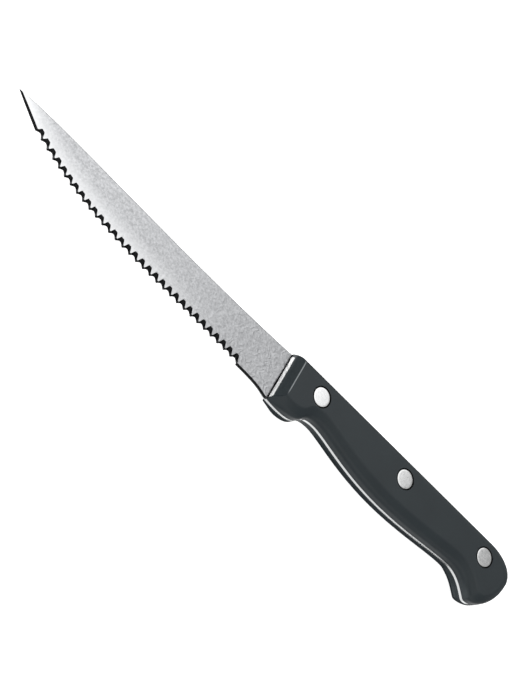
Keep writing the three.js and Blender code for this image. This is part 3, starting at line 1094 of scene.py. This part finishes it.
def dress_scale(piece):
    """Painted highlights on the white front end and along the front ridge, painted shade on the darker matt
    foot, and black moulding. The ridge's highlight is a value that fades towards the guard: the nearer a
    point is to the ridge line, the higher the value."""
    mesh = piece.data
    points = read_rows(mesh.vertices, "co") / MM - plan_origin
    # The painted highlight along the front ridge, strongest on the line where the bevel meets the flat.
    closeness = 1 - np.abs(points[:, 0] - front_bevel_run) / ridge_highlight_width
    below_flat = steel_half + scale_height - np.abs(points[:, 2])
    on_flat = smoothstep(below_flat, *ridge_highlight_depths)
    fade = 1 - smoothstep(-points[:, 1], *ridge_highlight_ends)
    set_point_values(mesh, "ridge_highlight", np.clip(closeness, 0, 1) * on_flat * fade)
    centres = read_rows(mesh.polygons, "center") / MM - plan_origin
    # The leaning front face above the foot and below the spine takes the white painted highlight.
    on_front = read_rows(mesh.polygons, "normal")[:, 0] < front_facing
    on_front &= centres[:, 0] < front_face_lean + front_corner
    high = np.abs(centres[:, 2]) - steel_half > front_foot
    below_spine = centres[:, 1] < -front_highlight_start
    # The foot and the rivet seats take the darker matt colour: painted shade in the gap and the recesses.
    matt = on_front & ~high | in_seat(centres)
    finish = np.where(on_front & high & below_spine, 1, np.where(matt, 2, 0))
    for material in (black_acetal, front_face_highlight, painted_shade_finish):
        mesh.materials.append(material)
    mesh.polygons.foreach_set("material_index", finish.astype(np.int32))
    return np.bincount(finish, minlength=3)


for side, piece in scales.items():
    print(side, "scale, faces of moulding, white front and matt foot:", dress_scale(piece))

# %% [markdown]
# The rivets' heads are buffed and their turned sides are ground and painted nearly black like the bevels.
# The two are told apart by whether a face looks up or down, or to the side.

# %% Finishes on the rivets
side_facing = 0.5
for piece in rivets.values():
    for material in (rivet_metal, dark_reflection_steel):
        piece.data.materials.append(material)
    turned = np.abs(read_rows(piece.data.polygons, "normal")[:, 2]) < side_facing
    piece.data.polygons.foreach_set("material_index", turned.astype(np.int32))
    print(piece.name, "faces on turned sides:", int(turned.sum()))

# %% [markdown]
# ## Hanging the pieces on the frame
# Each new piece rides on the knife's one body and stands for its CAD node, which is hidden.

# %% Pieces on their body
def stand_in(piece, node):
    """The piece rides on the knife and replaces a CAD node."""
    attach(piece, "root")
    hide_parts(node)


stand_in(steel, "blade")
for side, piece in scales.items():
    stand_in(piece, f"{side}_scale")
for (place, half), piece in rivets.items():
    stand_in(piece, f"{place}_rivet_{half}")

# %% [markdown]
# ## Floor and paper
# A product picture on white stands on a sheet of paper that runs flat and then bends up, so that no horizon
# shows. It could be lit until it burns out, but here it glows a little by itself, which leaves the light
# free for the knife. Metal shows what it reflects, so the paper is kept out of reflections, and the lower
# half of the room stands for it.

# %% Floor
floor_reach = 1500 * MM
floor_gap = 0.3 * MM
floor_mesh = bpy.data.meshes.new("floor")
quarters = ((-1, -1), (1, -1), (1, 1), (-1, 1))
corners = [(x * floor_reach, y * floor_reach, -floor_gap) for x, y in quarters]
floor_mesh.from_pydata(corners, [], [(0, 1, 2, 3)])
floor = bpy.data.objects.new("floor", floor_mesh)
bpy.context.scene.collection.objects.link(floor)
paper, paper_tree, paper_shader = new_material("white_paper_sweep")
fill(paper_tree, paper_shader, {
    "Base Color": linear("#f4f4f4"), "Roughness": 0.9,
    "Emission Color": linear("#ffffff"), "Emission Strength": 0.85,
})
floor_mesh.materials.append(paper)
floor.visible_glossy = False
floor.visible_diffuse = False

# %% Paper sweep
sweep_start = 1300.0
sweep_rise = 600.0
sweep_top = 2000.0
sweep_rows = 13
sweep_turn = np.linspace(0, np.pi / 2, sweep_rows)
sweep_radius = np.append(sweep_start + sweep_rise * np.sin(sweep_turn), sweep_start + sweep_rise)
sweep_height = np.append(sweep_rise * (1 - np.cos(sweep_turn)), sweep_top) - floor_gap / MM - plan_origin[2]
sweep_points = lathe(np.stack([sweep_radius, sweep_height], axis=1), -plan_origin[:2], 1)
sweep = make_piece("paper_sweep", sweep_points, lathe_faces(len(sweep_radius)))
sweep.data.materials.append(paper)
sweep.visible_glossy = False
sweep.visible_diffuse = False
sweep.visible_shadow = False

# %% [markdown]
# ## The shadow beside the handle
# Right beside the handle the paper lies in the knife's shadow, and the far scale reflects that as a dark
# band. A strip of black card under the floor stands for it, which only reflections and bounced light reach.
# It is narrow at the start of the finger notch, where the tang's rim looks along the handle.

# %% Shadow beside the handle
card_reach = 3.1
card_drop = 0.1
card_waist = 0.75
card_narrows = (13.0, 16.5)
card_widens = (25.0, 20.0)
along_belly = belly_line[:, :1]
narrow = smoothstep(along_belly, *card_narrows) * smoothstep(along_belly, *card_widens)
card_width = card_reach * (1 - card_waist * narrow)
card_plan = np.stack([belly_line, belly_line - card_width * inward(belly_line)], axis=1)
card_height = np.full((len(belly_line), 2, 1), -card_drop - floor_gap / MM - plan_origin[2])
card_faces = grid_faces(len(belly_line), 2)[::2]
card = make_piece("shadow_card", np.concatenate([card_plan, card_height], axis=2), card_faces)
black_card, card_tree, card_shader = new_material("matt_black_card")
fill(card_tree, card_shader, {"Base Color": linear("#0a0a0a"), "Roughness": 1.0, "Specular IOR Level": 0.0})
card.data.materials.append(black_card)

# %% [markdown]
# ## Light
# One very large soft light hangs above the blade's point, and where it ends decides where the steel turns
# grey. Lamps could do this, but ramps over the direction of a ray hold all the light in one world shader,
# with no edge that shows.

# %% The large soft light
world = bpy.data.worlds.new("soft_studio")
bpy.context.scene.world = world
world.use_nodes = True
sky = world.node_tree
looking = add(sky, "ShaderNodeTexCoord").outputs["Generated"]
sides = add(sky, "ShaderNodeSeparateXYZ", {"Vector": looking}).outputs
overhead = add(sky, "ShaderNodeMapRange", {
    "Value": sides["Z"], "From Min": 0.33, "From Max": 0.66,
}, interpolation_type="SMOOTHSTEP").outputs["Result"]
beyond_tip = add(sky, "ShaderNodeMapRange", {
    "Value": sides["X"], "From Min": -0.55, "From Max": -0.15, "To Min": 0.06, "To Max": overhead,
}, interpolation_type="SMOOTHSTEP").outputs["Result"]
tip_side = add(sky, "ShaderNodeMapRange", {
    "Value": sides["X"], "From Min": 0.49, "From Max": 0.385, "To Min": 0.18, "To Max": beyond_tip,
}, interpolation_type="SMOOTHSTEP").outputs["Result"]
towards_tip = add(sky, "ShaderNodeMapRange", {
    "Value": sides["X"], "From Min": 0.40, "From Max": 0.14, "To Min": 0.92, "To Max": 1.5,
}).outputs["Result"]
towards_spine = add(sky, "ShaderNodeMapRange", {
    "Value": sides["Y"], "From Min": -0.3, "From Max": 0.45, "To Min": 0.35, "To Max": towards_tip,
}, interpolation_type="SMOOTHSTEP").outputs["Result"]
softbox = add(sky, "ShaderNodeMath", {0: tip_side, 1: towards_spine}, operation="MULTIPLY").outputs["Value"]
print(len(sky.nodes), "nodes in the soft light")

# %% [markdown]
# The walls of the room are dim, a little brighter behind the spine and in front of the edge. They draw the
# soft gradients on the slopes of the handle.

# %% Light from the walls
behind_spine = add(sky, "ShaderNodeMapRange", {
    "Value": sides["X"], "From Min": 0.25, "From Max": -0.05, "To Min": 0.3, "To Max": 0.5,
}, interpolation_type="SMOOTHSTEP").outputs["Result"]
back_wall = add(sky, "ShaderNodeMapRange", {
    "Value": sides["Y"], "From Min": 0.5, "From Max": 0.85, "To Min": 0.2, "To Max": behind_spine,
}, interpolation_type="SMOOTHSTEP").outputs["Result"]
walls = add(sky, "ShaderNodeMapRange", {
    "Value": sides["Y"], "From Min": -0.3, "From Max": -0.7, "To Min": back_wall, "To Max": 0.75,
}, interpolation_type="SMOOTHSTEP").outputs["Result"]
above = add(sky, "ShaderNodeMath", {0: softbox, 1: walls}, operation="ADD").outputs["Value"]

# %% [markdown]
# What comes up from the floor is bright in front of the edge and beyond the tip, and dark behind the spine
# and straight below, as it would be with a black card there and the knife's own shadow.

# %% Light from the floor
under_butt = add(sky, "ShaderNodeMapRange", {
    "Value": sides["X"], "From Min": 0.42, "From Max": 0.55, "To Min": 0.98, "To Max": 1.2,
}).outputs["Result"]
edge_side = add(sky, "ShaderNodeMapRange", {
    "Value": sides["Y"], "From Min": 0.55, "From Max": 0.3, "To Min": 0.02, "To Max": under_butt,
}, interpolation_type="SMOOTHSTEP").outputs["Result"]
far_floor = add(sky, "ShaderNodeMapRange", {
    "Value": sides["Z"], "From Min": -0.65, "From Max": -0.45, "To Min": edge_side, "To Max": 0.4,
}, interpolation_type="SMOOTHSTEP").outputs["Result"]
shadow = add(sky, "ShaderNodeMapRange", {
    "Value": sides["Z"], "From Min": -0.92, "From Max": -0.8, "To Min": 0.05, "To Max": far_floor,
}, interpolation_type="SMOOTHSTEP").outputs["Result"]
below = add(sky, "ShaderNodeMapRange", {
    "Value": sides["X"], "From Min": -0.6, "From Max": -0.9, "To Min": shadow, "To Max": 7.5,
}, interpolation_type="SMOOTHSTEP").outputs["Result"]
horizon = add(sky, "ShaderNodeMapRange", {
    "Value": sides["Z"], "From Min": -0.05, "From Max": 0.05,
}, interpolation_type="SMOOTHSTEP").outputs["Result"]
room = add(sky, "ShaderNodeMix", {0: horizon, 2: below, 3: above}).outputs[0]
fill(sky, sky.nodes["Background"], {"Color": room})
print(len(sky.nodes), "nodes in all the light")

# %% [markdown]
# ## Camera
# The picture is taken from above the edge side, with the camera turned so that the knife lies from the top
# left to the bottom right. The angles come from the rivets: round heads look like ellipses whose flatness
# and tilt give the elevation and the roll.

# %% Camera
view_azimuth = math.radians(-34.15)
view_elevation = math.radians(51.1)
view_roll = math.radians(72.0)
view_distance = 536.3 * MM
view_target = Vector((-3.97, 4.42, 5.0)) * MM
towards_camera = Vector((
    math.sin(view_azimuth) * math.cos(view_elevation),
    -math.cos(view_azimuth) * math.cos(view_elevation),
    math.sin(view_elevation),
))
camera_data = bpy.data.cameras.new("camera")
camera_data.lens = 94.11
camera_data.sensor_width = 36.0
camera_data.clip_start = 0.01
camera = bpy.data.objects.new("camera", camera_data)
camera.rotation_mode = "QUATERNION"
camera.location = view_target + towards_camera * view_distance
level_view = (-towards_camera).to_track_quat("-Z", "Y")
camera.rotation_quaternion = level_view @ Quaternion((0, 0, 1), view_roll)
bpy.context.scene.collection.objects.link(camera)
bpy.context.scene.camera = camera
bpy.context.scene.view_settings.view_transform = "Standard"
print(f"camera {view_distance / MM:.0f} mm from the knife")
